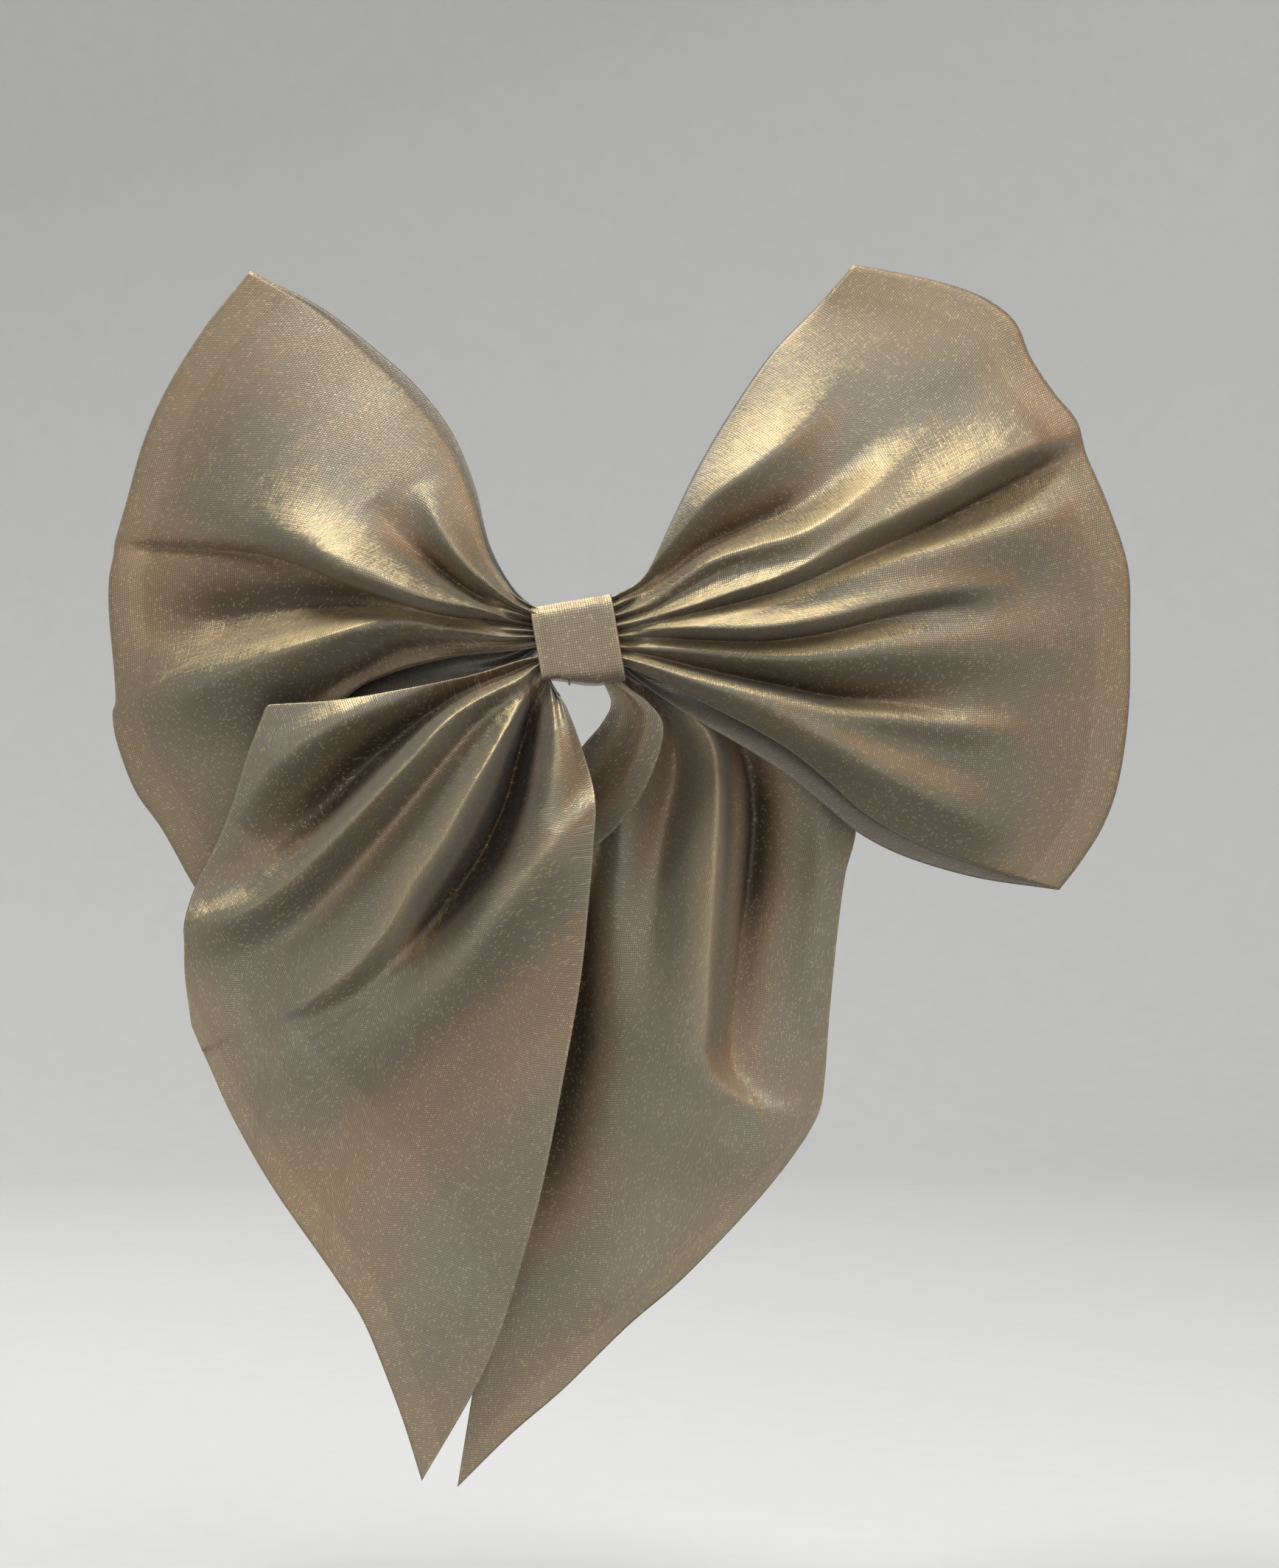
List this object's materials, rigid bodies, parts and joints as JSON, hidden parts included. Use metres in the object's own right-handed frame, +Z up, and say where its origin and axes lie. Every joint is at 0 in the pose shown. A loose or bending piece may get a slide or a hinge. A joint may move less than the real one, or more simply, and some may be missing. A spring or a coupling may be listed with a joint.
{
  "type": "hair bow",
  "caption": "Large gathered hair bow with slant-cut tails, tied by a folded band to a spring barrette with a hinged arm.",
  "frame": {"origin": "middle of the outer face of the clip's arm, the face that lies against the head, with the clip shut", "axes": "+Z up as the bow is worn, -Y the bow's front, +X to the right seen from the front, along the clip"},
  "size_m": [0.2, 0.0306, 0.24],
  "materials": {
    "loop_cloth": "shot satin organza, metallic champagne, fine plain weave",
    "back_cloth": "the same cloth from behind, cooler blue-grey sheen",
    "tail_cloth": "shot satin organza, metallic champagne, hot-cut edge",
    "band_cloth": "folded strip of the same cloth, edges turned under",
    "thread": "polyester sewing thread",
    "nickel_plate": "nickel-plated stamped steel",
    "spring_steel": "rolled spring steel, satin"
  },
  "bodies": {
    "bow": {"loop_front_panel": "loop_cloth", "loop_back_panel": "back_cloth", "end_seam_left": "thread", "end_seam_right": "thread", "tail_left": "tail_cloth", "tail_right": "tail_cloth", "knot_band": "band_cloth", "knot_band_stitches": "thread", "gathering_thread": "thread", "clip_base": "nickel_plate", "hinge_pin": "nickel_plate", "tension_leaf": "spring_steel", "catch_plate": "spring_steel", "catch_rivet": "nickel_plate", "clip_stitches": "thread"},
    "arm": {"clip_arm": "nickel_plate"},
    "prong_upper": {"catch_prong_upper": "spring_steel"},
    "prong_lower": {"catch_prong_lower": "spring_steel"}
  },
  "joints": [
    {"name": "arm_hinge", "type": "hinge", "parent": "bow", "child": "arm", "pos_m": [-0.037, -0.0015, 0], "axis": [0, 0, 1], "range_deg": [0, 80]},
    {"name": "prong_upper_squeeze", "type": "hinge", "parent": "bow", "child": "prong_upper", "pos_m": [0.037, -0.0083, 0.0018], "axis": [1, 0, 0], "range_deg": [-6, 0], "stiffness_Nm_per_rad": 0.01},
    {"name": "prong_lower_squeeze", "type": "hinge", "parent": "bow", "child": "prong_lower", "pos_m": [0.037, -0.0083, -0.0018], "axis": [1, 0, 0], "range_deg": [0, 6], "stiffness_Nm_per_rad": 0.01}
  ],
  "couplings": [
    {"joint": "prong_lower_squeeze", "follows": "prong_upper_squeeze", "ratio": -1}
  ]
}
